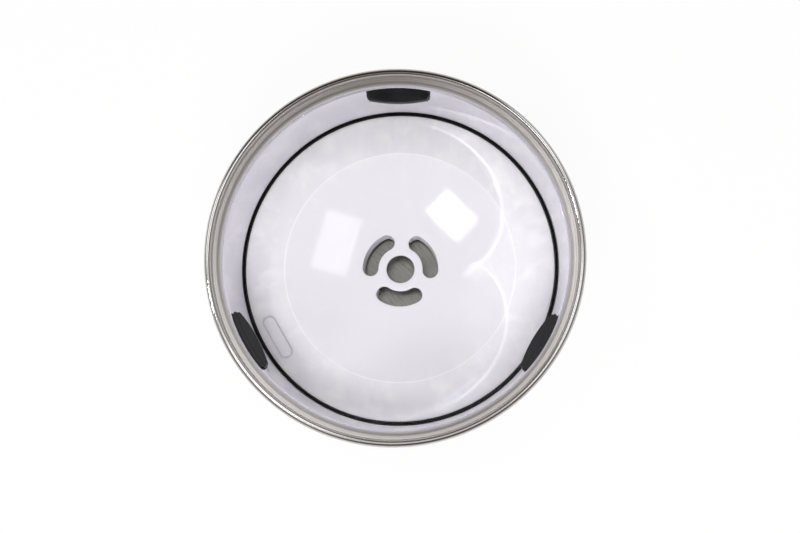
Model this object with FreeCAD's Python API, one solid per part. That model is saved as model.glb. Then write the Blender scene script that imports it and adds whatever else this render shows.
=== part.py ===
import FreeCAD, Part
import math
import os

from FreeCAD import Vector

# No spill dog water bowl: a drawn steel bowl with a floating disc that three rubber stops hold in.
# Millimetres and degrees, +Z up, origin on the ground under the middle of the bowl.

# Bowl, one drawn and rolled sheet of stainless steel
RIM_DIAMETER = 230.0
BOWL_HEIGHT = 66.5
SHEET = 0.8
CURL_RADIUS = 2.25
CURL_WRAP = 300.0
VALLEY_RADIUS = 0.8
VALLEY_HEADING = 110.0
LIP_WIDTH = 1.0
LIP_SLOPE = 10.0
SHOULDER_RADIUS = 6.0
WALL_TAPER = 9.2
CORNER_RADIUS = 12.0

# Rubber ring bonded under the bowl
BASE_RING_THICKNESS = 1.5
BASE_RING_WIDTH = 9.0
BASE_RING_INSET = 3.0
BASE_RING_ROUND = 0.5

# Rubber stops bonded to the inside of the wall
STOP_COUNT = 3
STOP_FIRST_AZIMUTH = 89.2
STOP_LENGTH = 38.4
STOP_TOP_BELOW_RIM = 9.6
STOP_PLATE_HEIGHT = 8.0
STOP_PLATE_THICKNESS = 2.2
STOP_SHELF_HEIGHT = 5.0
STOP_SHELF_BELOW_PLATE = 0.5
STOP_REACH = 7.7
STOP_NOSE_BOW = 1.8
STOP_NOSE_ROUND = 0.9
STOP_CORNER = 1.0
STOP_FRONT_CORNER = 1.6
STOP_GROOVE = 1.1

# Floating disc, one plastic moulding
DISC_HEIGHT = 21.2
DISC_TURN = -2.4
DISC_PLATE = 2.0
DISC_EDGE_HEIGHT = 3.0
DISC_EDGE_ROUND = 0.5
ANNULUS_WIDTH = 24.4
ANNULUS_FALL = 0.6
DISH_DEPTH = 7.9
CREASE_ROUND = 6.0
SKIRT_GAP = 1.5
SKIRT_WALL = 1.8
SKIRT_HEIGHT = 11.0

# Holes of the disc and the curved baffles under the outer sides of the slots
HOLE_RADIUS = 8.86
SLOT_COUNT = 3
SLOT_FIRST_AZIMUTH = 30.0
SLOT_INNER_RADIUS = 14.08
SLOT_WIDTH = 9.8
SLOT_HALF_ANGLE = 30.5
SLOT_NARROWING = 0.8
BAFFLE_WALL = 1.5
BAFFLE_HEIGHT = 8.5
HOLE_EDGE_ROUND = 0.4

# Ribs and feet under the disc
RIB_THICKNESS = 1.5
RIB_CLEARANCE = 8.2
RIB_END_SLOPE = 45.0
FOOT_RING_RADIUS = 60.0
FOOT_RADIUS = 4.0
FOOT_WALL = 1.4

# Black edging ring of the disc
DISC_CLEARANCE = 0.45
EDGING_SHOW = 0.85
EDGING_HEIGHT = 2.6
EDGING_TOP_DROP = 0.1
TONGUE_DEPTH = 1.2
TONGUE_HEIGHT = 1.0

# Levels that follow from the sizes above
FLOOR_UNDER = BASE_RING_THICKNESS
FLOOR_TOP = FLOOR_UNDER + SHEET
RIM_TOP = FLOOR_UNDER + BOWL_HEIGHT
DISC_TOP = FLOOR_TOP + DISC_HEIGHT
STOP_TOP = RIM_TOP - STOP_TOP_BELOW_RIM
WALL_HEADING = 90.0 - WALL_TAPER


def sine(degrees):
    return math.sin(math.radians(degrees))


def cosine(degrees):
    return math.cos(math.radians(degrees))


def tangent(degrees):
    return math.tan(math.radians(degrees))


class Pen:
    """Draws a chain of lines and tangent arcs in the XZ plane, moved sideways by offset."""

    def __init__(self, x, z, heading, offset=0.0):
        self.heading = heading
        self.offset = offset
        self.x = x + offset * sine(heading)
        self.z = z - offset * cosine(heading)
        self.edges = []

    def point(self):
        return Vector(self.x, 0, self.z)

    def straight(self, length):
        start = self.point()
        self.x += length * cosine(self.heading)
        self.z += length * sine(self.heading)
        self.edges.append(Part.LineSegment(start, self.point()).toShape())

    def turn(self, radius, degrees):
        """A turn to the left is positive. The offset lies on the right of the chain."""
        side = math.copysign(1.0, degrees)
        radius = radius + side * self.offset
        centre_x = self.x - side * radius * sine(self.heading)
        centre_z = self.z + side * radius * cosine(self.heading)
        start = self.point()
        places = []
        for part in (0.5, 1.0):
            heading = self.heading + part * degrees
            x = centre_x + side * radius * sine(heading)
            z = centre_z - side * radius * cosine(heading)
            places.append(Vector(x, 0, z))
        self.heading += degrees
        self.x = places[1].x
        self.z = places[1].z
        self.edges.append(Part.Arc(start, places[0], places[1]).toShape())


def turn_size(radius, start, end):
    """How far along X and Z a tangent arc goes between two headings."""
    side = math.copysign(1.0, end - start)
    return side * radius * (sine(end) - sine(start)), side * radius * (cosine(start) - cosine(end))


def revolve(face, degrees=360.0):
    return face.revolve(Vector(0, 0, 0), Vector(0, 0, 1), degrees)


def turned(shape, degrees):
    copy = shape.copy()
    copy.rotate(Vector(0, 0, 0), Vector(0, 0, 1), degrees)
    return copy


def face_through(points):
    return Part.Face(Part.makePolygon(points + points[:1]))


def arc_through(first, middle, last):
    return Part.Arc(first, middle, last).toShape()


def line(first, last):
    return Part.LineSegment(first, last).toShape()


def rim_sizes():
    """Width and height of the rim, from the top of the wall to the outside and the top of the curl."""
    shoulder = turn_size(SHOULDER_RADIUS, WALL_HEADING, LIP_SLOPE)
    lip = (LIP_WIDTH * cosine(LIP_SLOPE), LIP_WIDTH * sine(LIP_SLOPE))
    valley = turn_size(VALLEY_RADIUS, LIP_SLOPE, VALLEY_HEADING)
    curl_out = turn_size(CURL_RADIUS, VALLEY_HEADING, -90.0)
    curl_up = turn_size(CURL_RADIUS, VALLEY_HEADING, 0.0)
    width = shoulder[0] + lip[0] + valley[0] + curl_out[0]
    height = shoulder[1] + lip[1] + valley[1] + curl_up[1]
    return width, height


RIM_WIDTH, RIM_HEIGHT = rim_sizes()
WALL_TOP_RADIUS = RIM_DIAMETER / 2 - RIM_WIDTH
WALL_TOP = RIM_TOP - RIM_HEIGHT
CORNER_WIDTH, CORNER_HEIGHT = turn_size(CORNER_RADIUS, 0.0, WALL_HEADING)
WALL_RUN = (WALL_TOP - FLOOR_TOP - CORNER_HEIGHT) / sine(WALL_HEADING)
FLOOR_RADIUS = WALL_TOP_RADIUS - WALL_RUN * cosine(WALL_HEADING) - CORNER_WIDTH


def wall_radius(z):
    """Inner radius of the straight part of the wall at a height."""
    return WALL_TOP_RADIUS - (WALL_TOP - z) * tangent(WALL_TAPER)


def sheet_side(offset):
    """One side of the sheet, from the middle of the floor to the end of the curl."""
    pen = Pen(0, FLOOR_TOP, 0.0, offset)
    pen.straight(FLOOR_RADIUS)
    pen.turn(CORNER_RADIUS, WALL_HEADING)
    pen.straight(WALL_RUN)
    pen.turn(SHOULDER_RADIUS, LIP_SLOPE - WALL_HEADING)
    pen.straight(LIP_WIDTH)
    pen.turn(VALLEY_RADIUS, VALLEY_HEADING - LIP_SLOPE)
    pen.turn(CURL_RADIUS, -CURL_WRAP)
    return pen


def make_bowl():
    inside = sheet_side(0.0)
    outside = sheet_side(SHEET)
    middle = line(Vector(0, 0, FLOOR_TOP), Vector(0, 0, FLOOR_UNDER))
    end = line(inside.point(), outside.point())
    wire = Part.Wire(Part.__sortEdges__(inside.edges + outside.edges + [middle, end]))
    return revolve(Part.Face(wire))


def make_base_ring():
    outer = FLOOR_RADIUS - BASE_RING_INSET
    inner = outer - BASE_RING_WIDTH
    ring = Part.makeCylinder(outer, BASE_RING_THICKNESS).cut(Part.makeCylinder(inner, BASE_RING_THICKNESS))
    lower = [edge for edge in ring.Edges if edge.BoundBox.ZMax < BASE_RING_THICKNESS / 2]
    return ring.makeFillet(BASE_RING_ROUND, lower)


def make_wall_inside():
    """The room inside the straight wall, to which the backs of the stops are cut."""
    low = FLOOR_TOP + CORNER_HEIGHT
    points = [Vector(0, 0, low), Vector(wall_radius(low), 0, low)]
    points += [Vector(WALL_TOP_RADIUS, 0, WALL_TOP), Vector(0, 0, WALL_TOP)]
    return revolve(face_through(points))


def stop_plan(reach, half_length, corner, bow):
    """Outline of a stop from above, at azimuth 0, with its nose towards the middle of the bowl."""
    top_radius = wall_radius(STOP_TOP)
    tip = top_radius - reach
    end = tip + bow
    back = top_radius * cosine(math.degrees(math.asin(half_length / top_radius)))
    beyond = top_radius + corner
    front = STOP_FRONT_CORNER
    points = [Vector(end, half_length - front, 0), Vector(end + front, half_length, 0)]
    points.append(Vector(back - corner, half_length, 0))
    points += [Vector(back, half_length - corner, 0), Vector(beyond, half_length - corner, 0)]
    mirror = [Vector(point.x, -point.y, 0) for point in reversed(points)]
    chain = points + mirror
    edges = [line(first, last) for first, last in zip(chain, chain[1:])]
    edges.append(arc_through(chain[-1], Vector(tip, 0, 0), chain[0]))
    return Part.Face(Part.Wire(edges))


def make_stop(inside):
    half = STOP_LENGTH / 2
    plate_bottom = STOP_TOP - STOP_PLATE_HEIGHT
    shelf_top = STOP_TOP - STOP_SHELF_BELOW_PLATE
    shelf_bottom = shelf_top - STOP_SHELF_HEIGHT
    plate = stop_plan(STOP_REACH, half, STOP_CORNER, STOP_NOSE_BOW).extrude(Vector(0, 0, STOP_PLATE_HEIGHT))
    plate.translate(Vector(0, 0, plate_bottom))
    band = [Vector(wall_radius(z) - STOP_PLATE_THICKNESS, 0, z) for z in (plate_bottom, STOP_TOP)]
    band += [Vector(WALL_TOP_RADIUS + STOP_CORNER, 0, z) for z in (STOP_TOP, plate_bottom)]
    plate = plate.common(revolve(face_through(band)))
    shelf = stop_plan(STOP_REACH, half, STOP_CORNER, STOP_NOSE_BOW).extrude(Vector(0, 0, STOP_SHELF_HEIGHT))
    shelf.translate(Vector(0, 0, shelf_bottom))
    nose_radius = wall_radius(STOP_TOP) - STOP_REACH + STOP_NOSE_BOW
    nose = []
    for edge in shelf.Edges:
        flat = edge.BoundBox.ZLength < STOP_NOSE_ROUND / 2
        if flat and edge.BoundBox.XMax < nose_radius + STOP_NOSE_ROUND / 2:
            nose.append(edge)
    shelf = shelf.makeFillet(STOP_NOSE_ROUND, nose)
    stop = plate.fuse(shelf).common(inside)
    groove_radius = wall_radius(STOP_TOP) - STOP_PLATE_THICKNESS - STOP_GROOVE
    for side in (-1, 1):
        x = math.sqrt(groove_radius ** 2 - half ** 2)
        notch = Part.makeCylinder(STOP_GROOVE, STOP_PLATE_HEIGHT, Vector(x, side * half, plate_bottom))
        stop = stop.cut(notch)
    return stop.removeSplitter()


def dish_height(radius, inset=0.0):
    """Height of the dish at a radius, or of a surface that lies inset under it."""
    ball = DISH_BALL + inset
    return DISH_BOTTOM + DISH_BALL - math.sqrt(ball ** 2 - radius ** 2)


DISC_RADIUS = wall_radius(DISC_TOP) - DISC_CLEARANCE - EDGING_SHOW
CREASE_RADIUS = DISC_RADIUS - ANNULUS_WIDTH
CREASE_LEVEL = DISC_TOP - ANNULUS_FALL
DISH_BOTTOM = CREASE_LEVEL - DISH_DEPTH
DISH_BALL = (CREASE_RADIUS ** 2 + DISH_DEPTH ** 2) / (2 * DISH_DEPTH)
SKIRT_BOTTOM = DISC_TOP - SKIRT_HEIGHT
BAFFLE_BOTTOM = DISH_BOTTOM - BAFFLE_HEIGHT
RIB_BOTTOM = FLOOR_TOP + RIB_CLEARANCE


def dish_arc(inset, outer_radius):
    middle = outer_radius / 2
    first = Vector(0, 0, dish_height(0, inset))
    return arc_through(first, Vector(middle, 0, dish_height(middle, inset)),
                       Vector(outer_radius, 0, dish_height(outer_radius, inset)))


def round_ring(shape, round_radius, ring_radius, z):
    """Rounds the full circle of this radius at this height."""
    near = 0.01
    ring = []
    for edge in shape.Edges:
        box = edge.BoundBox
        if box.ZLength < near and abs(box.ZMax - z) < near and abs(box.XMax - ring_radius) < near:
            ring.append(edge)
    return shape.makeFillet(round_radius, ring)


def make_disc_shell():
    """Plate, dish, edge and skirt of the disc, as one turned section."""
    step = DISC_TOP - DISC_EDGE_HEIGHT
    skirt_top = wall_radius(step) - SKIRT_GAP
    skirt_low = wall_radius(SKIRT_BOTTOM) - SKIRT_GAP
    under_crease = Vector(CREASE_RADIUS, 0, dish_height(CREASE_RADIUS, DISC_PLATE))
    under_edge = Vector(wall_radius(DISC_TOP - DISC_PLATE) - SKIRT_GAP - SKIRT_WALL, 0, DISC_TOP - DISC_PLATE)
    top = [Vector(CREASE_RADIUS, 0, CREASE_LEVEL), Vector(DISC_RADIUS, 0, DISC_TOP)]
    chain = top + [Vector(DISC_RADIUS, 0, step), Vector(skirt_top, 0, step), Vector(skirt_low, 0, SKIRT_BOTTOM)]
    chain += [Vector(skirt_low - SKIRT_WALL, 0, SKIRT_BOTTOM), under_edge, under_crease]
    edges = [dish_arc(0.0, CREASE_RADIUS)]
    edges += [line(first, last) for first, last in zip(chain, chain[1:])]
    edges.append(dish_arc(DISC_PLATE, CREASE_RADIUS))
    edges.append(line(Vector(0, 0, DISH_BOTTOM), Vector(0, 0, DISH_BOTTOM - DISC_PLATE)))
    shell = revolve(Part.Face(Part.Wire(Part.__sortEdges__(edges))))
    shell = round_ring(shell, CREASE_ROUND, CREASE_RADIUS, CREASE_LEVEL)
    return round_ring(shell, DISC_EDGE_ROUND, DISC_RADIUS, DISC_TOP)


def slot_wire(inner, outer, z):
    """Outline of a curved slot with round ends, about azimuth 0."""
    middle = (inner + outer) / 2
    tip = math.degrees((outer - inner) / 2 / middle)
    places = []
    for radius, angle in ((inner, -1), (inner, 0), (inner, 1), (outer, 1), (outer, 0), (outer, -1)):
        azimuth = angle * SLOT_HALF_ANGLE
        places.append(Vector(radius * cosine(azimuth), radius * sine(azimuth), z))
    ends = []
    for side in (1, -1):
        azimuth = side * SLOT_HALF_ANGLE
        centre = Vector(middle * cosine(azimuth), middle * sine(azimuth), z)
        along = Vector(-sine(azimuth), cosine(azimuth), 0) * side * (outer - inner) / 2
        ends.append(centre + along)
    edges = [arc_through(places[0], places[1], places[2]), arc_through(places[2], ends[0], places[3])]
    edges += [arc_through(places[3], places[4], places[5]), arc_through(places[5], ends[1], places[0])]
    return Part.Wire(edges)


def slot_solid(grow, bottom, top):
    """A slot whose outer wall leans in towards its lower end, grown on all sides for its baffle."""
    inner = SLOT_INNER_RADIUS - grow
    outer = SLOT_INNER_RADIUS + SLOT_WIDTH + grow
    lean = SLOT_NARROWING / BAFFLE_HEIGHT
    low = outer - lean * (DISH_BOTTOM - bottom)
    high = outer + lean * (top - DISH_BOTTOM)
    return Part.makeLoft([slot_wire(inner, low, bottom), slot_wire(inner, high, top)], True, True)


def make_baffle():
    """The curved wall under the outer side of the slot at azimuth 0, sunk halfway into the plate."""
    wall = slot_solid(BAFFLE_WALL, BAFFLE_BOTTOM, DISH_BOTTOM - DISC_PLATE / 2)
    return wall.cut(Part.makeCylinder(SLOT_INNER_RADIUS + SLOT_WIDTH / 2, DISC_TOP))


def slot_azimuths():
    return [SLOT_FIRST_AZIMUTH + 360.0 / SLOT_COUNT * number for number in range(SLOT_COUNT)]


def make_rib():
    """A radial rib at azimuth 0, from the baffles to the skirt, sunk halfway into the plate."""
    sunk = DISC_PLATE / 2
    inner = SLOT_INNER_RADIUS + SLOT_WIDTH + BAFFLE_WALL / 2
    middle = (inner + CREASE_RADIUS) / 2
    inner_top, middle_top, crease_top = [
        Vector(radius, 0, dish_height(radius, sunk)) for radius in (inner, middle, CREASE_RADIUS)]
    in_skirt = SKIRT_GAP + SKIRT_WALL / 2
    skirt_top = DISC_TOP - sunk
    skirt_low = Vector(wall_radius(SKIRT_BOTTOM) - in_skirt, 0, SKIRT_BOTTOM)
    slope_end = skirt_low.x - (SKIRT_BOTTOM - RIB_BOTTOM) / tangent(RIB_END_SLOPE)
    chain = [crease_top, Vector(wall_radius(skirt_top) - in_skirt, 0, skirt_top), skirt_low]
    chain += [Vector(slope_end, 0, RIB_BOTTOM), Vector(inner, 0, RIB_BOTTOM), inner_top]
    edges = [line(first, last) for first, last in zip(chain, chain[1:])]
    edges.append(arc_through(inner_top, middle_top, crease_top))
    rib = Part.Face(Part.Wire(edges)).extrude(Vector(0, RIB_THICKNESS, 0))
    rib.translate(Vector(0, -RIB_THICKNESS / 2, 0))
    return rib


def make_foot():
    """A hollow round foot at azimuth 0, from the floor of the bowl into the plate."""
    place = Vector(FOOT_RING_RADIUS, 0, FLOOR_TOP)
    top = dish_height(FOOT_RING_RADIUS, DISC_PLATE / 2)
    foot = Part.makeCylinder(FOOT_RADIUS, top - FLOOR_TOP, place)
    return foot.cut(Part.makeCylinder(FOOT_RADIUS - FOOT_WALL, RIB_BOTTOM - FLOOR_TOP, place))


def make_ribs():
    """Ribs behind the slots and between them, with a foot on each rib between two slots."""
    rib = make_rib()
    foot = make_foot()
    pieces = []
    for number in range(2 * SLOT_COUNT):
        azimuth = SLOT_FIRST_AZIMUTH + 180.0 / SLOT_COUNT * number
        pieces.append(turned(rib, azimuth))
        if number % 2 == 1:
            pieces.append(turned(foot, azimuth))
    return pieces


def make_edging():
    """The black edging ring, with the tongue that lies in a groove of the disc."""
    top = DISC_TOP - EDGING_TOP_DROP
    bottom = top - EDGING_HEIGHT
    tongue = (top + bottom) / 2
    half = TONGUE_HEIGHT / 2
    inner = DISC_RADIUS - TONGUE_DEPTH
    points = [Vector(DISC_RADIUS, 0, bottom), Vector(wall_radius(bottom) - DISC_CLEARANCE, 0, bottom)]
    points += [Vector(wall_radius(top) - DISC_CLEARANCE, 0, top), Vector(DISC_RADIUS, 0, top)]
    points += [Vector(DISC_RADIUS, 0, tongue + half), Vector(inner, 0, tongue + half)]
    points += [Vector(inner, 0, tongue - half), Vector(DISC_RADIUS, 0, tongue - half)]
    return revolve(face_through(points))


def round_holes(disc):
    """Rounds the upper edges of the middle hole and the slots."""
    reach = SLOT_INNER_RADIUS + SLOT_WIDTH + 2 * HOLE_EDGE_ROUND
    top = dish_height(reach)
    edges = []
    for edge in disc.Edges:
        box = edge.BoundBox
        wide = max(abs(box.XMin), abs(box.XMax), abs(box.YMin), abs(box.YMax))
        if wide < reach and DISH_BOTTOM - HOLE_EDGE_ROUND < box.ZMin and box.ZMax < top:
            edges.append(edge)
    return disc.makeFillet(HOLE_EDGE_ROUND, edges)


def make_disc(edging):
    disc = make_disc_shell()
    disc = disc.multiFuse(make_ribs())
    baffle = make_baffle()
    disc = disc.multiFuse([turned(baffle, azimuth) for azimuth in slot_azimuths()])
    slot = slot_solid(0.0, BAFFLE_BOTTOM - DISC_PLATE, DISC_TOP)
    cuts = [turned(slot, azimuth) for azimuth in slot_azimuths()]
    cuts.append(Part.makeCylinder(HOLE_RADIUS, DISC_TOP, Vector(0, 0, 0)))
    for cut in cuts:
        disc = disc.cut(cut)
    disc = round_holes(disc.removeSplitter())
    return turned(disc.cut(edging), DISC_TURN)


def make_parts():
    inside = make_wall_inside()
    stop = make_stop(inside)
    edging = make_edging()
    parts = {"bowl_shell": make_bowl(), "base_ring": make_base_ring()}
    names = ("stop_back", "stop_left", "stop_right")
    for number, name in enumerate(names):
        parts[name] = turned(stop, STOP_FIRST_AZIMUTH + 360.0 / STOP_COUNT * number)
    parts["float_disc"] = make_disc(edging)
    parts["disc_edging"] = edging
    return parts


def main():
    os.makedirs("parts", exist_ok=True)
    for name, shape in make_parts().items():
        piece = shape.Solids[0]
        box = piece.BoundBox
        print(name, "solids", len(shape.Solids), "valid", piece.isValid())
        print("  volume %.0f, z %.2f to %.2f" % (piece.Volume, box.ZMin, box.ZMax))
        piece.exportStep("parts/" + name + ".step")


main()
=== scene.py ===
# %% [markdown]
# # A bowl that doesn't spill
# The object is a drawn steel water bowl. A white disc floats in it, and a little water comes up
# through the holes in the disc's dish. Three rubber stops on the wall keep the disc in.
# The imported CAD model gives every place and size, so it is loaded first. Sections that are drawn
# again below have the same sizes, in millimetres.

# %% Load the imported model
import math

import bmesh
import bpy
from mathutils import Matrix, Vector


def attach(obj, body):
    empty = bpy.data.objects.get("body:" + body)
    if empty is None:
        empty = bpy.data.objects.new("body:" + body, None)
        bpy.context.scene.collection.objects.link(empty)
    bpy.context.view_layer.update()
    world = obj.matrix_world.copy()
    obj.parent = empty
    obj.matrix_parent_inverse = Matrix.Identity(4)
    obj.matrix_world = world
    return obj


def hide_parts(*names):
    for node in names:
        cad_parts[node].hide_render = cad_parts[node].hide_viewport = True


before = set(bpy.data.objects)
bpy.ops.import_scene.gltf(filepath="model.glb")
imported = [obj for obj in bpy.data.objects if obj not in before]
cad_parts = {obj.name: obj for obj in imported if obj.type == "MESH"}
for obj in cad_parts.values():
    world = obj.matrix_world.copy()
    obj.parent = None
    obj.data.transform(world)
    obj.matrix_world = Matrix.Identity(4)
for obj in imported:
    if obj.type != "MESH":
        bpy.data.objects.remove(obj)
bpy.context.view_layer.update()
MM = 0.001


# %% Helpers for angles and places
def sine(degrees):
    return math.sin(math.radians(degrees))


def cosine(degrees):
    return math.cos(math.radians(degrees))


def direction(azimuth, zenith):
    """Unit vector at an azimuth about Z and an angle off the vertical, in degrees."""
    flat = sine(zenith)
    return Vector((flat * cosine(azimuth), flat * sine(azimuth), cosine(zenith)))


def aimed(place, axis_back, up):
    """World matrix of a camera or lamp at a place, whose -Z runs against axis_back."""
    right = up.cross(axis_back).normalized()
    turned = Matrix((right, axis_back.cross(right), axis_back)).transposed()
    return Matrix.Translation(place) @ turned.to_4x4()


def linked(name, data):
    """Makes an object of a mesh, lamp or camera and puts it in the scene."""
    one = bpy.data.objects.new(name, data)
    bpy.context.scene.collection.objects.link(one)
    return one


# %% [markdown]
# ## Camera
# A catalogue picture of a bowl is taken from almost straight above, on a long lens, so that the rim
# stays nearly a circle. The camera looks a little past the bowl, and the lens shift brings it back
# into the frame, as a photographer does who crops a wider picture.
# A polished wall throws light back on the disc. Cycles blurs and clamps such light to save noise, and
# both are switched off here, because they would also wipe out the bright patches on the wall's side.

# %% Camera over the rim
RIM_CENTRE = Vector((0.0, 0.0, 65.75 * MM))
CAMERA_DISTANCE = 0.9
CAMERA_AZIMUTH = -64.7
CAMERA_ZENITH = 10.82
AIM_ZENITH = 7.47
camera_data = bpy.data.cameras.new("catalogue_camera")
camera = linked("catalogue_camera", camera_data)
camera_data.lens = 67.45
camera_data.sensor_width = 36.0
camera_data.shift_x = -0.0397
camera_data.shift_y = 0.0853
camera.matrix_world = aimed(RIM_CENTRE + CAMERA_DISTANCE * direction(CAMERA_AZIMUTH, CAMERA_ZENITH),
                            direction(CAMERA_AZIMUTH, AIM_ZENITH), Vector((0, 1, 0)))
bpy.context.scene.camera = camera
bpy.context.scene.view_settings.view_transform = "Standard"
bpy.context.scene.cycles.blur_glossy = 0.0
bpy.context.scene.cycles.sample_clamp_indirect = 0.0
print("camera at", [round(value, 3) for value in camera.location])

# %% [markdown]
# ## Helpers for shapes
# Nearly all of this object is turned: a section goes once round the vertical axis. A section could be
# typed as a list of points, but a pen that walks in straight lines and tangent arcs is how a
# toolmaker draws it, and every arc keeps its true radius. The pen makes one vertex and lets the
# extrude and spin operators of bmesh carry it along.

# %% A pen for sections
MERGE_DISTANCE = 0.002 * MM
SLIVER_LENGTH = 0.001 * MM


class Pen:
    """Draws a chain of edges in the XZ plane. Lengths are in millimetres, headings in degrees."""

    def __init__(self, mesh, x, z, heading=0.0):
        self.mesh = mesh
        self.tip = mesh.verts.new((x * MM, 0.0, z * MM))
        self.heading = heading

    def straight(self, length, steps=1):
        step = Vector((cosine(self.heading), 0.0, sine(self.heading))) * length * MM / steps
        for _ in range(steps):
            made = bmesh.ops.extrude_vert_indiv(self.mesh, verts=[self.tip])
            self.tip = made["verts"][0]
            bmesh.ops.translate(self.mesh, verts=[self.tip], vec=step)

    def line_to(self, x, z, steps=1):
        run = Vector((x * MM, 0.0, z * MM)) - self.tip.co
        self.heading = math.degrees(math.atan2(run.z, run.x))
        self.straight(run.length / MM, steps)

    def turn(self, radius, degrees, steps):
        """A tangent arc. A turn to the left is positive."""
        side = math.copysign(radius * MM, degrees)
        centre = self.tip.co + side * Vector((-sine(self.heading), 0.0, cosine(self.heading)))
        made = bmesh.ops.spin(self.mesh, geom=[self.tip], cent=centre, axis=(0, -1, 0),
                              angle=math.radians(degrees), steps=steps)
        self.tip = [item for item in made["geom_last"] if isinstance(item, bmesh.types.BMVert)][0]
        self.heading += degrees


def spin_round(mesh, segments):
    """Turns the section that is in the mesh once round Z, and closes seam and pole."""
    bmesh.ops.spin(mesh, geom=mesh.verts[:] + mesh.edges[:], cent=(0, 0, 0), axis=(0, 0, 1),
                   angle=2 * math.pi, steps=segments, use_merge=True, use_duplicate=False)
    bmesh.ops.remove_doubles(mesh, verts=mesh.verts[:], dist=MERGE_DISTANCE)
    bmesh.ops.dissolve_degenerate(mesh, edges=mesh.edges[:], dist=SLIVER_LENGTH)
    bmesh.ops.recalc_face_normals(mesh, faces=mesh.faces[:])


# %% From a bmesh to a finished piece
def finished(name, mesh, material, body, nodes=(), smooth=True):
    """Makes a piece of a bmesh, which rides on a CAD body and may stand for CAD nodes."""
    data = bpy.data.meshes.new(name)
    mesh.to_mesh(data)
    mesh.free()
    if smooth:
        data.shade_smooth()
    else:
        data.shade_flat()
    data.materials.append(material)
    piece = linked(name, data)
    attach(piece, body)
    if nodes:
        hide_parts(*nodes)
    print(name, len(data.vertices), "vertices", len(data.polygons), "faces")
    return piece


def soften(piece, width, angle):
    """Rounds the edges that are sharper than an angle, as a mould leaves them."""
    edges = piece.modifiers.new("moulded_edges", "BEVEL")
    edges.width = width * MM
    edges.segments = 2
    edges.limit_method = "ANGLE"
    edges.angle_limit = math.radians(angle)


# %% [markdown]
# ## Helpers for materials
# Each finish is a Principled shader with its own values. Colour, roughness and bump are worked out
# by nodes from the place on the surface, so short helpers add the nodes that come again and again.


# %% Node helpers
def new_material(name, **values):
    material = bpy.data.materials.new(name)
    material.use_nodes = True
    shader = material.node_tree.nodes["Principled BSDF"]
    for socket, value in values.items():
        shader.inputs[socket.replace("_", " ")].default_value = value
    return material, material.node_tree, shader


def feed(tree, socket, value):
    """Links an output to a socket, or writes a value on it."""
    if isinstance(value, bpy.types.NodeSocket):
        tree.links.new(value, socket)
    else:
        socket.default_value = value


def add(tree, kind, inputs=None, **settings):
    """Adds a node, sets its properties and fills its inputs with values or links."""
    node = tree.nodes.new(kind)
    for name, value in settings.items():
        setattr(node, name, value)
    for socket, value in (inputs or {}).items():
        feed(tree, node.inputs[socket], value)
    return node


def math_node(tree, operation, first, second=0.0):
    return add(tree, "ShaderNodeMath", {0: first, 1: second}, operation=operation).outputs[0]


def times(tree, first, *others):
    for other in others:
        first = math_node(tree, "MULTIPLY", first, other)
    return first


def smooth_step(tree, value, low, high, out_low=0.0, out_high=1.0):
    node = add(tree, "ShaderNodeMapRange", {"Value": value, "From Min": low, "From Max": high,
               "To Min": out_low, "To Max": out_high}, interpolation_type="SMOOTHSTEP")
    return node.outputs["Result"]


def between(tree, share, first, second):
    """A number between two numbers."""
    return add(tree, "ShaderNodeMix", {"Factor": share, "A": first, "B": second}).outputs["Result"]


def mixed(tree, share, first, second):
    """A colour between two colours."""
    node = add(tree, "ShaderNodeMix", data_type="RGBA")
    colours = [socket for socket in node.inputs if socket.type == "RGBA"]
    for socket, value in zip([node.inputs["Factor"]] + colours, (share, first, second)):
        feed(tree, socket, value)
    return [socket for socket in node.outputs if socket.type == "RGBA"][0]


def axes_of(tree, vector):
    return add(tree, "ShaderNodeSeparateXYZ", {"Vector": vector}).outputs


def vector_of(tree, **axes):
    return add(tree, "ShaderNodeCombineXYZ", axes).outputs["Vector"]


def length_of(tree, vector):
    return add(tree, "ShaderNodeVectorMath", {0: vector}, operation="LENGTH").outputs["Value"]


def noise(tree, place, scale, detail, **others):
    inputs = {"Vector": place, "Scale": scale, "Detail": detail, **others}
    return add(tree, "ShaderNodeTexNoise", inputs).outputs["Fac"]


def surface_place(tree):
    """A point's Object coordinates, and the same point laid flat on the ground."""
    place = add(tree, "ShaderNodeTexCoord").outputs["Object"]
    axes = axes_of(tree, place)
    return place, axes, vector_of(tree, X=axes["X"], Y=axes["Y"])


def relief(tree, shader, height, strength, distance):
    """Bumps a surface by a height pattern. The distance is in millimetres."""
    bump = add(tree, "ShaderNodeBump", {"Height": height, "Strength": strength,
                                        "Distance": distance * MM})
    tree.links.new(bump.outputs["Normal"], shader.inputs["Normal"])


# %% [markdown]
# Brushed steel has fine parallel lines, tens of times longer than wide. Stretching a noise pattern
# along one direction gives such lines. A node group turns Object coordinates by the grain's angle
# first, so that the lines lie as they do on the real sheet. It puts out the fine lines, for
# roughness and bump, and broader ones, for the tint.

# %% Straight grain group
BROAD_SHARE = (0.31, 0.13, 0.31)
grain_group = bpy.data.node_groups.new("straight_grain", "ShaderNodeTree")
for name in ("Angle", "Lines", "Length"):
    grain_group.interface.new_socket(name, in_out="INPUT", socket_type="NodeSocketFloat")
for name in ("Value", "Soft"):
    grain_group.interface.new_socket(name, in_out="OUTPUT", socket_type="NodeSocketFloat")
ends_in = add(grain_group, "NodeGroupInput").outputs
ends_out = add(grain_group, "NodeGroupOutput").inputs
place = add(grain_group, "ShaderNodeTexCoord").outputs["Object"]
turned = add(grain_group, "ShaderNodeVectorRotate", {"Vector": place, "Angle": ends_in["Angle"]},
             rotation_type="Z_AXIS").outputs["Vector"]
axes = axes_of(grain_group, turned)
across = times(grain_group, axes["Y"], ends_in["Lines"])
along = times(grain_group, axes["X"], ends_in["Length"])
upward = times(grain_group, axes["Z"], ends_in["Length"])
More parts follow.
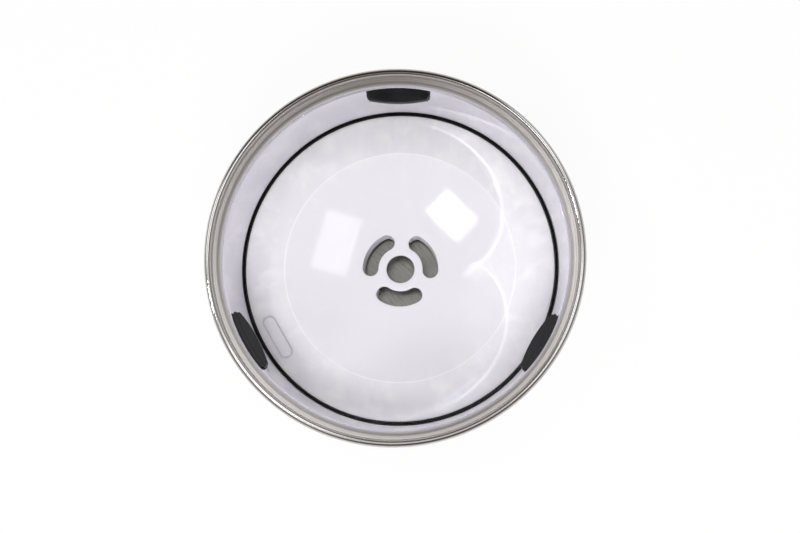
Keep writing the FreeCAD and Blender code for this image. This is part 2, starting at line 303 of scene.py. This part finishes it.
stretched = vector_of(grain_group, X=along, Y=across, Z=upward)
fine = noise(grain_group, stretched, 1.0, 3.0, Roughness=0.65)
broad_place = add(grain_group, "ShaderNodeVectorMath", {0: stretched, 1: BROAD_SHARE},
                  operation="MULTIPLY").outputs["Vector"]
broad = noise(grain_group, broad_place, 1.0, 1.0)
grain_group.links.new(fine, ends_out["Value"])
grain_group.links.new(broad, ends_out["Soft"])
print("straight_grain", len(grain_group.nodes), "nodes")

# %% [markdown]
# ## Stainless steel
# The sheet is brushed before it is drawn. The inside of the wall and the curl are polished
# afterwards, the lip between them keeps a satin finish with fine spun lines, the outside is satin
# too, and the floor stays brushed, which the holes of the disc show. One material does it all, since
# it is one sheet: masks made from height and radius say how rough and how light each zone is. The
# outside is told from the inside by its normal, which points down, because the wall leans outwards.

# %% Zones of the sheet
steel, tree, shader = new_material("bowl_steel_polished", Metallic=1.0)
place, axes, flat = surface_place(tree)
radius = length_of(tree, flat)
on_floor = smooth_step(tree, axes["Z"], 9.0 * MM, 3.5 * MM)
above_wall = smooth_step(tree, axes["Z"], 60.0 * MM, 62.5 * MM)
on_lip = smooth_step(tree, axes["Z"], 61.8 * MM, 63.4 * MM)
on_curl = smooth_step(tree, radius, 110.6 * MM, 111.4 * MM)
off_curl = math_node(tree, "SUBTRACT", 1.0, on_curl)
normal = add(tree, "ShaderNodeNewGeometry").outputs["Normal"]
outside = smooth_step(tree, axes_of(tree, normal)["Z"], -0.02, -0.12)
grain = add(tree, "ShaderNodeGroup", {}, node_tree=grain_group)
grain.inputs["Angle"].default_value = math.radians(-133.0)
grain.inputs["Lines"].default_value = 7000.0
grain.inputs["Length"].default_value = 200.0
lines = grain.outputs["Value"]
print("zones of the sheet", len(tree.nodes), "nodes")

# %% Roughness of the sheet
SHOULDER_ROUGHNESS = 0.44
CURL_ROUGHNESS = 0.09
OUTSIDE_ROUGHNESS = 0.2
haze = noise(tree, place, 55.0, 2.0)
polished = smooth_step(tree, haze, 0.3, 0.7, 0.025, 0.045)
polished = between(tree, times(tree, above_wall, off_curl), polished, SHOULDER_ROUGHNESS)
polished = between(tree, times(tree, above_wall, on_curl), polished, CURL_ROUGHNESS)
polished = between(tree, outside, polished, OUTSIDE_ROUGHNESS)
brushed = smooth_step(tree, lines, 0.3, 0.7, 0.26, 0.36)
tree.links.new(between(tree, on_floor, polished, brushed), shader.inputs["Roughness"])
relief(tree, shader, lines, between(tree, on_floor, 0.004, 0.016), 0.05)
print("roughness and relief of the sheet", len(tree.nodes), "nodes")

# %% Tint of the sheet
CURL_TINTS = (0.53, 0.515, 0.50, 1), (0.60, 0.588, 0.578, 1)
LIP_TINTS = (0.48, 0.455, 0.43, 1), (0.68, 0.665, 0.65, 1)
# The wall's tint is the steel's reflectance, with a violet cast that is a painted reflection of the
# disc.
WALL_TINT_WITH_PAINTED_REFLECTION = (0.80, 0.79, 0.83, 1)
OUTSIDE_TINT = (0.56, 0.55, 0.545, 1)
FLOOR_TINTS = (0.15, 0.148, 0.136, 1), (0.26, 0.255, 0.238, 1)
SPUN_LINES = 1700.0
curl_tint = mixed(tree, grain.outputs["Soft"], *CURL_TINTS)
spun = noise(tree, vector_of(tree, X=times(tree, radius, SPUN_LINES)), 1.0, 2.0)
lip_tint = mixed(tree, smooth_step(tree, spun, 0.35, 0.65), *LIP_TINTS)
floor_tint = mixed(tree, smooth_step(tree, lines, 0.3, 0.7), *FLOOR_TINTS)
tint = mixed(tree, on_curl, lip_tint, curl_tint)
tint = mixed(tree, on_lip, WALL_TINT_WITH_PAINTED_REFLECTION, tint)
tint = mixed(tree, outside, tint, OUTSIDE_TINT)
tree.links.new(mixed(tree, on_floor, tint, floor_tint), shader.inputs["Base Color"])
print(steel.name, len(tree.nodes), "nodes")

# %% [markdown]
# ## White plastic
# The disc is injection moulded with a gloss finish. It is not pure white: it has a cool, slightly
# violet tint, which shows most in shade. Faint fans of light near the edge, thrown back by the
# polished wall, are painted into the colour as a painted caustic, by a noise pattern stretched along
# the radius. A fine light line along the crease where the dish begins is a painted highlight.
# Light enters the plastic a few millimetres, so thin edges glow.

# %% Disc plastic
CREASE_RADIUS = 72.71
PLASTIC_AND_CAUSTIC_TINTS = (0.81, 0.80, 0.865, 1), (0.90, 0.895, 0.925, 1)
CREASE_HIGHLIGHT_TINT = (0.97, 0.97, 0.98, 1)
plastic, tree, shader = new_material(
    "disc_plastic_gloss", IOR=1.5, Specular_IOR_Level=0.5, Subsurface_Weight=0.6,
    Subsurface_Scale=0.004, Subsurface_Radius=(1.0, 0.95, 0.9))
place, axes, flat = surface_place(tree)
radius = length_of(tree, flat)
# Painted caustic: lighter fans near the edge stand in for light that the polished wall throws back.
around = add(tree, "ShaderNodeVectorMath", {0: flat}, operation="NORMALIZE").outputs["Vector"]
way = axes_of(tree, around)
caustic_fan_place = vector_of(tree, X=way["X"], Y=way["Y"], Z=times(tree, radius, 9.0))
painted_caustic_fans = smooth_step(tree, noise(tree, caustic_fan_place, 7.0, 2.0, Distortion=0.4), 0.4, 0.75)
caustic_near_edge = smooth_step(tree, radius, 60.0 * MM, 88.0 * MM)
tone = mixed(tree, times(tree, painted_caustic_fans, caustic_near_edge), *PLASTIC_AND_CAUSTIC_TINTS)
# Painted highlight: a lighter line along the crease, where the crease catches light.
off_crease = math_node(tree, "ABSOLUTE", math_node(tree, "SUBTRACT", radius, CREASE_RADIUS * MM))
painted_crease_highlight = smooth_step(tree, off_crease, 0.7 * MM, 0.1 * MM)
tone = mixed(tree, times(tree, painted_crease_highlight, 0.55), tone, CREASE_HIGHLIGHT_TINT)
tree.links.new(tone, shader.inputs["Base Color"])
cloud = noise(tree, place, 420.0, 2.0)
tree.links.new(smooth_step(tree, cloud, 0.2, 0.8, 0.03, 0.06), shader.inputs["Roughness"])
relief(tree, shader, cloud, 0.01, 0.05)
print(plastic.name, len(tree.nodes), "nodes")

# %% [markdown]
# ## Black rubber
# The stops, the edging and the ring under the bowl are satin black rubber. Rubber is never a plain
# black: it has a fine cast grain, and it is a little greyer and rougher where it is handled.

# %% Stop and edging rubber
RUBBER_TINTS = (0.007, 0.0072, 0.008, 1), (0.013, 0.0134, 0.015, 1)
rubber, tree, shader = new_material("satin_rubber", IOR=1.5, Specular_IOR_Level=0.3)
place = add(tree, "ShaderNodeTexCoord").outputs["Object"]
speckle = noise(tree, place, 1500.0, 3.0)
handled = noise(tree, place, 90.0, 2.0)
tone = mixed(tree, smooth_step(tree, handled, 0.35, 0.7), *RUBBER_TINTS)
tree.links.new(tone, shader.inputs["Base Color"])
tree.links.new(smooth_step(tree, handled, 0.3, 0.7, 0.38, 0.5), shader.inputs["Roughness"])
relief(tree, shader, speckle, 0.25, 0.04)
print(rubber.name, len(tree.nodes), "nodes")

# %% [markdown]
# ## The bowl
# The real bowl is one sheet of steel, 0.8 mm thick, drawn in a press, with its edge rolled over
# outwards. The section is drawn once, from the middle of the floor to the end of the curl, turned
# round the axis, and given its thickness by a Solidify modifier. That keeps the sheet equally thick
# round the tight bends of the rim, which two separate surfaces would not.

# %% Section of the sheet
SHEET = 0.8
FLOOR_TOP = 2.3
RIM_TOP = 68.0
WALL_TAPER = 9.2
CORNER_RADIUS = 12.0
SHOULDER_RADIUS = 6.0
LIP_WIDTH = 1.0
LIP_SLOPE = 10.0
VALLEY_RADIUS = 0.8
VALLEY_HEADING = 110.0
CURL_RADIUS = 2.25
CURL_WRAP = 300.0
RIM_RADIUS = 115.0
AROUND = 288


def turn_size(radius, start, end):
    """How far along X and Z a tangent arc goes between two headings."""
    side = math.copysign(radius, end - start)
    return Vector((side * (sine(end) - sine(start)), side * (cosine(start) - cosine(end))))


WALL_HEADING = 90.0 - WALL_TAPER
rim = turn_size(SHOULDER_RADIUS, WALL_HEADING, LIP_SLOPE)
rim += LIP_WIDTH * Vector((cosine(LIP_SLOPE), sine(LIP_SLOPE)))
rim += turn_size(VALLEY_RADIUS, LIP_SLOPE, VALLEY_HEADING)
WALL_TOP_RADIUS = RIM_RADIUS - (rim + turn_size(CURL_RADIUS, VALLEY_HEADING, -90.0)).x
WALL_TOP = RIM_TOP - (rim + turn_size(CURL_RADIUS, VALLEY_HEADING, 0.0)).y
corner = turn_size(CORNER_RADIUS, 0.0, WALL_HEADING)
WALL_RUN = (WALL_TOP - FLOOR_TOP - corner.y) / sine(WALL_HEADING)
FLOOR_RADIUS = WALL_TOP_RADIUS - WALL_RUN * cosine(WALL_HEADING) - corner.x
print("wall top", round(WALL_TOP_RADIUS, 3), round(WALL_TOP, 3), "floor", round(FLOOR_RADIUS, 3))


def wall_radius(z):
    """Inner radius of the straight part of the wall at a height."""
    return WALL_TOP_RADIUS - (WALL_TOP - z) * math.tan(math.radians(WALL_TAPER))


# %% Turn the bowl
mesh = bmesh.new()
pen = Pen(mesh, 0.0, FLOOR_TOP)
pen.straight(FLOOR_RADIUS, steps=8)
pen.turn(CORNER_RADIUS, WALL_HEADING, steps=16)
pen.straight(WALL_RUN, steps=6)
pen.turn(SHOULDER_RADIUS, LIP_SLOPE - WALL_HEADING, steps=14)
pen.straight(LIP_WIDTH)
pen.turn(VALLEY_RADIUS, VALLEY_HEADING - LIP_SLOPE, steps=10)
pen.turn(CURL_RADIUS, -CURL_WRAP, steps=36)
spin_round(mesh, AROUND)
middle_face = min(mesh.faces, key=lambda face: face.calc_center_median().length)
if middle_face.normal.z < 0:
    bmesh.ops.reverse_faces(mesh, faces=mesh.faces[:])
bowl = finished("bowl_sheet", mesh, steel, "bowl", ["bowl_shell"])
thick = bowl.modifiers.new("sheet_thickness", "SOLIDIFY")
thick.thickness = SHEET * MM
thick.offset = -1.0
thick.use_even_offset = True

# %% [markdown]
# ## The ring under the bowl
# A flat rubber ring keeps the bowl from sliding. It is turned too, with its two lower edges rounded,
# and is made from its section with the same pen.

# %% Base ring
RING_THICKNESS = 1.5
RING_WIDTH = 9.0
RING_INSET = 3.0
RING_ROUND = 0.5
RING_AROUND = 192
mesh = bmesh.new()
pen = Pen(mesh, FLOOR_RADIUS - RING_INSET - RING_WIDTH, RING_THICKNESS, -90.0)
start = pen.tip
pen.straight(RING_THICKNESS - RING_ROUND)
pen.turn(RING_ROUND, 90.0, steps=5)
pen.straight(RING_WIDTH - 2 * RING_ROUND, steps=4)
pen.turn(RING_ROUND, 90.0, steps=5)
pen.straight(RING_THICKNESS - RING_ROUND)
mesh.edges.new((pen.tip, start))
spin_round(mesh, RING_AROUND)
finished("base_ring_rubber", mesh, rubber, "bowl", ["base_ring"])

# %% [markdown]
# ## The floating disc
# The disc comes from the CAD model as it is, because its dish, holes and ribs are exact there. It
# only gets its finish.

# %% Disc finish
DISC_TOP = 23.5
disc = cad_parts["float_disc"]
disc.data.materials[0] = plastic
print(disc.name, len(disc.data.polygons), "faces")

# %% [markdown]
# ## The raised mark on the disc
# Near one stop a long oval outline stands a little proud of the disc, where a finger tips the disc
# out. It is left bare inside. The outline starts as a circle whose two halves are pulled apart into
# an oval, then the face is inset, its middle is deleted, and the band left over is extruded. It
# follows the slope of the disc's outer band, and its foot is sunk a little into the disc.

# %% Raised oval
MARK_AZIMUTH = 209.7
MARK_RADIUS = 88.0
MARK_LENGTH = 29.6
MARK_WIDTH = 8.8
MARK_LINE = 0.8
MARK_HEIGHT = 0.27
MARK_SUNK = 0.1
CREASE_LEVEL = 22.9
DISC_EDGE_RADIUS = 97.11
mesh = bmesh.new()
bmesh.ops.create_circle(mesh, cap_ends=True, segments=48, radius=MARK_WIDTH / 2 * MM)
for vert in mesh.verts:
    vert.co.x += math.copysign((MARK_LENGTH - MARK_WIDTH) / 2 * MM, vert.co.x)
bmesh.ops.inset_region(mesh, faces=mesh.faces[:], thickness=MARK_LINE * MM, use_boundary=True)
inner = max(mesh.faces, key=lambda face: len(face.verts))
bmesh.ops.delete(mesh, geom=[inner], context="FACES")
made = bmesh.ops.extrude_face_region(mesh, geom=mesh.faces[:])
raised = [item for item in made["geom"] if isinstance(item, bmesh.types.BMVert)]
bmesh.ops.translate(mesh, verts=raised, vec=(0, 0, MARK_HEIGHT * MM))
bmesh.ops.recalc_face_normals(mesh, faces=mesh.faces[:])
fall = math.atan2(DISC_TOP - CREASE_LEVEL, DISC_EDGE_RADIUS - CREASE_RADIUS)
level = CREASE_LEVEL + (MARK_RADIUS - CREASE_RADIUS) * math.tan(fall) - MARK_SUNK
place = Matrix.Rotation(math.radians(MARK_AZIMUTH), 4, "Z")
place = place @ Matrix.Translation((MARK_RADIUS * MM, 0, level * MM))
place = place @ Matrix.Rotation(-fall, 4, "Y") @ Matrix.Rotation(math.radians(90.0), 4, "Z")
bmesh.ops.transform(mesh, matrix=place, verts=mesh.verts[:])
mark = finished("oval_mark", mesh, plastic, "disc", smooth=False)
soften(mark, 0.2, 40.0)

# %% [markdown]
# ## The edging of the disc
# A thin black ring lies round the edge of the disc, just under its top. Only its upper lip shows, so
# the section has that lip and the tongue that holds it in the disc.

# %% Edging ring
DISC_CLEARANCE = 0.45
EDGING_SHOW = 0.85
EDGING_HEIGHT = 2.6
EDGING_TOP_DROP = 0.1
TONGUE_DEPTH = 1.2
TONGUE_HEIGHT = 1.0
DISC_RADIUS = wall_radius(DISC_TOP) - DISC_CLEARANCE - EDGING_SHOW
edging_top = DISC_TOP - EDGING_TOP_DROP
edging_low = edging_top - EDGING_HEIGHT
tongue = (edging_top + edging_low) / 2
mesh = bmesh.new()
pen = Pen(mesh, DISC_RADIUS, edging_low)
start = pen.tip
pen.line_to(wall_radius(edging_low) - DISC_CLEARANCE, edging_low)
pen.line_to(wall_radius(edging_top) - DISC_CLEARANCE, edging_top)
pen.line_to(DISC_RADIUS, edging_top)
pen.line_to(DISC_RADIUS, tongue + TONGUE_HEIGHT / 2)
pen.line_to(DISC_RADIUS - TONGUE_DEPTH, tongue + TONGUE_HEIGHT / 2)
pen.line_to(DISC_RADIUS - TONGUE_DEPTH, tongue - TONGUE_HEIGHT / 2)
pen.line_to(DISC_RADIUS, tongue - TONGUE_HEIGHT / 2)
mesh.edges.new((pen.tip, start))
spin_round(mesh, AROUND)
finished("edging_rubber", mesh, rubber, "disc", ["disc_edging"], smooth=False)

# %% [markdown]
# ## The stops
# Each stop is a small rubber block: a plate bonded to the wall and a shelf that reaches over the
# disc. A rubber moulding has no sharp edges, so the CAD solids are copied, their triangles are welded
# into flat faces, and a Bevel modifier rounds the edges.

# %% Stops with soft edges
for name in ("stop_back", "stop_left", "stop_right"):
    mesh = bmesh.new()
    mesh.from_mesh(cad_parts[name].data)
    bmesh.ops.remove_doubles(mesh, verts=mesh.verts[:], dist=SLIVER_LENGTH)
    bmesh.ops.dissolve_limit(mesh, verts=mesh.verts[:], edges=mesh.edges[:],
                             angle_limit=math.radians(0.5))
    stop = finished(name + "_rubber", mesh, rubber, "bowl", [name], smooth=False)
    soften(stop, 0.35, 30.0)

# %% [markdown]
# ## Studio
# The floor is white and endless. Its colour is partly its own glow for what the camera sees, so that
# it stays white, and partly plain paint, so that it still takes the object's shadow. Shiny things
# see a darker floor. The room is pale above and along its lower walls, with a dark band between,
# because that band is what draws the dark lines along a polished rim. Two windows give crisp lights
# on the curl, a pale patch lies overhead, and a dim patch stands for the camera and its crane.


# %% Floor
def staged_sheet(name, size, material, place):
    """A flat sheet that belongs to the studio and not to the object."""
    mesh = bmesh.new()
    bmesh.ops.create_grid(mesh, x_segments=1, y_segments=1, size=size, matrix=place)
    data = bpy.data.meshes.new(name)
    mesh.to_mesh(data)
    mesh.free()
    data.materials.append(material)
    sheet = linked(name, data)
    print(name, [round(value, 2) for value in sheet.dimensions])
    return sheet


CAMERA_GLOW = 0.93
MIRRORED_GLOW = 0.2
paper, tree, shader = new_material("studio_paper", Base_Color=(0.9, 0.9, 0.9, 1), Roughness=0.9,
                                   Specular_IOR_Level=0.1)
rays = add(tree, "ShaderNodeLightPath").outputs
mirrored = math_node(tree, "MAXIMUM", rays["Is Glossy Ray"], rays["Is Transmission Ray"])
share = math_node(tree, "MAXIMUM", times(tree, rays["Is Camera Ray"], CAMERA_GLOW),
                  times(tree, mirrored, MIRRORED_GLOW))
glow = add(tree, "ShaderNodeEmission", {"Color": (1, 1, 1, 1), "Strength": 1.0})
blend = add(tree, "ShaderNodeMixShader", {0: share, 1: shader.outputs[0], 2: glow.outputs[0]})
tree.links.new(blend.outputs[0], tree.nodes["Material Output"].inputs["Surface"])
staged_sheet("studio_floor", 8.0, paper, Matrix.Identity(4))

# %% Walls and ceiling of the studio
DARK_BAND = (0.20, 0.175, 0.155, 1)
UPPER_WALLS = (0.90, 0.895, 0.90, 1)
LOWER_WALLS = (0.74, 0.73, 0.72, 1)
CEILING = (0.92, 0.91, 0.92, 1)
CRANE = (0.15, 0.13, 0.115, 1)
WINDOW_LIGHT = (2.4, 2.4, 2.45, 1)
SKIRTING = (0.7, 0.7, 0.72, 1)
world = bpy.data.worlds.new("studio")
bpy.context.scene.world = world
world.use_nodes = True
tree = world.node_tree
ray = add(tree, "ShaderNodeTexCoord").outputs["Generated"]
height = axes_of(tree, ray)["Z"]


def patch(azimuth, zenith, reach, edge):
    """1 inside a round patch of the studio's walls, and 0 outside it."""
    towards = add(tree, "ShaderNodeVectorMath", {0: ray, 1: direction(azimuth, zenith)},
                  operation="DOT_PRODUCT").outputs["Value"]
    return smooth_step(tree, towards, cosine(reach + edge), cosine(reach))


walls = mixed(tree, smooth_step(tree, height, 0.78, 0.93), DARK_BAND, UPPER_WALLS)
walls = mixed(tree, smooth_step(tree, height, 0.52, 0.36), walls, LOWER_WALLS)
walls = mixed(tree, patch(-80.0, 8.0, 12.0, 14.0), walls, CEILING)
walls = mixed(tree, patch(-76.0, 36.0, 20.0, 14.0), walls, CRANE)
windows = math_node(tree, "MAXIMUM", patch(66.0, 36.0, 9.0, 7.0), patch(153.0, 38.0, 5.0, 6.0))
walls = mixed(tree, windows, walls, WINDOW_LIGHT)
walls = mixed(tree, smooth_step(tree, height, 0.14, 0.06), walls, SKIRTING)
tree.links.new(walls, tree.nodes["Background"].inputs["Color"])
print("studio walls", len(tree.nodes), "nodes")

# %% [markdown]
# Polished steel only looks like steel when it mirrors something dark. A black flag hangs over the
# back of the rim and gives the rim its dark arc. It is left out of everything but reflections, so it
# dims nothing else. One lamp from the front lights the disc without being mirrored by the rim, one
# from the left makes soft shadows, and two small ones high up are what the glossy dish mirrors.

# %% Dark flag over the back of the rim
FLAG_PLACE = (-0.11, 0.215, 0.19)
FLAG_SIZE = (0.44, 0.23, 1.0, 1.0)
felt, tree, shader = new_material("flag_felt", Base_Color=(0.06, 0.045, 0.035, 1), Roughness=1.0,
                                  Specular_IOR_Level=0.0)
flag = staged_sheet("dark_flag", 0.5, felt,
                    Matrix.Translation(FLAG_PLACE) @ Matrix.Diagonal(FLAG_SIZE))
flag.visible_camera = False
flag.visible_shadow = False
flag.visible_diffuse = False


# %% Lamps
def lamp(name, azimuth, zenith, distance, width, height, share=None, radiance=None,
         colour=(1, 1, 1), roll=0.0):
    """A soft lamp aimed at the rim.

    share is how far it lights a white floor towards white, and radiance is its own brightness.
    """
    data = bpy.data.lights.new(name, "AREA")
    data.shape = "RECTANGLE"
    data.size = width
    data.size_y = height
    if share is not None:
        data.energy = share * math.pi ** 2 * distance ** 2 / cosine(zenith)
    else:
        data.energy = radiance * math.pi * width * height
    data.color = colour
    one = linked(name, data)
    back = direction(azimuth, zenith)
    up = Vector((-sine(roll), cosine(roll), 0.0))
    one.matrix_world = aimed(RIM_CENTRE + distance * back, back, up)
    print(name, round(data.energy, 2), "W")
    return one


lamp("left_lamp", 175.0, 34.0, 1.4, 0.08, 0.08, share=0.07)
front_lamp = lamp("front_lamp", 266.0, 44.0, 1.4, 0.8, 0.8, share=0.57, colour=(1.0, 0.985, 0.995))
front_lamp.visible_glossy = False
lamp("dish_light_left", 173.0, 12.6, 1.3, 0.114, 0.163, radiance=6.0, roll=44.0)
lamp("dish_light_right", 46.0, 7.7, 1.3, 0.127, 0.216, radiance=3.5, colour=(0.96, 0.96, 1.0),
     roll=-16.0)

# %% [markdown]
# Sunlight or a hard lamp that falls into a round polished wall comes back as a curve with a cusp, the
# nephroid that a cup of coffee shows. Tracing it takes thousands of samples. The curve is known, so a
# small projector over the bowl throws it on the disc instead, as a stencil in front of a spot does.
# Where x and y are the place on the disc, measured in quarters of the curve's outer radius, the curve
# is (x2 + y2 - 4)3 = 108 y2. The difference of the two sides over its slope is about the distance
# from the curve. Light stays on the right of the disc, and a faint veil lies between the curve and
# the wall. The curve's outer radius is a little less than the wall's.

# %% The projector's place on the disc
CURVE_RADIUS = 93.0
CURVE_TURN = 2.0
PROJECTOR_HEIGHT = 1.5
spot = bpy.data.lights.new("curve_projector", "SPOT")
spot.energy = 34.0
spot.shadow_soft_size = 0.0
spot.spot_size = math.radians(9.0)
spot.spot_blend = 0.0
spot.use_nodes = True
tree = spot.node_tree
beam = axes_of(tree, add(tree, "ShaderNodeTexCoord").outputs["Normal"])
steep_beam = math_node(tree, "ABSOLUTE", beam["Z"])
reach = math_node(tree, "DIVIDE", PROJECTOR_HEIGHT / (CURVE_RADIUS / 4 * MM), steep_beam)
x = times(tree, beam["X"], reach)
y = times(tree, beam["Y"], reach)
flat = vector_of(tree, X=x, Y=y)
square = add(tree, "ShaderNodeVectorMath", {0: flat, 1: flat}, operation="DOT_PRODUCT").outputs["Value"]
print("unit of the curve", CURVE_RADIUS / 4, "mm")

# %% Line of light on the disc
LINE_HALF_WIDTH = 0.045
VEIL_WIDTH = 1.1
VEIL_STRENGTH = 0.12
root = math_node(tree, "SUBTRACT", square, 4.0)
value = math_node(tree, "SUBTRACT", times(tree, root, root, root), times(tree, y, y, 108.0))
slope_x = times(tree, root, root, x, 6.0)
slope_y = math_node(tree, "SUBTRACT", times(tree, root, root, y, 6.0), times(tree, y, 216.0))
slope = length_of(tree, vector_of(tree, X=slope_x, Y=slope_y))
distance = math_node(tree, "DIVIDE", value, math_node(tree, "ADD", slope, 2.0))
line = smooth_step(tree, math_node(tree, "ABSOLUTE", distance), LINE_HALF_WIDTH, 0.0)
veil = times(tree, smooth_step(tree, distance, VEIL_WIDTH, 0.0),
             smooth_step(tree, distance, -0.02, 0.02))
light = math_node(tree, "ADD", line, times(tree, veil, VEIL_STRENGTH))
right_side = smooth_step(tree, x, 0.3, 1.6)
on_disc = smooth_step(tree, square, 16.4, 15.4)
light = times(tree, light, right_side, on_disc)
tree.links.new(light, tree.nodes["Emission"].inputs["Strength"])
projector = linked("curve_projector", spot)
projector.matrix_world = Matrix.Translation((0, 0, DISC_TOP * MM + PROJECTOR_HEIGHT))
projector.matrix_world = projector.matrix_world @ Matrix.Rotation(math.radians(CURVE_TURN), 4, "Z")
print(projector.name, len(tree.nodes), "nodes")
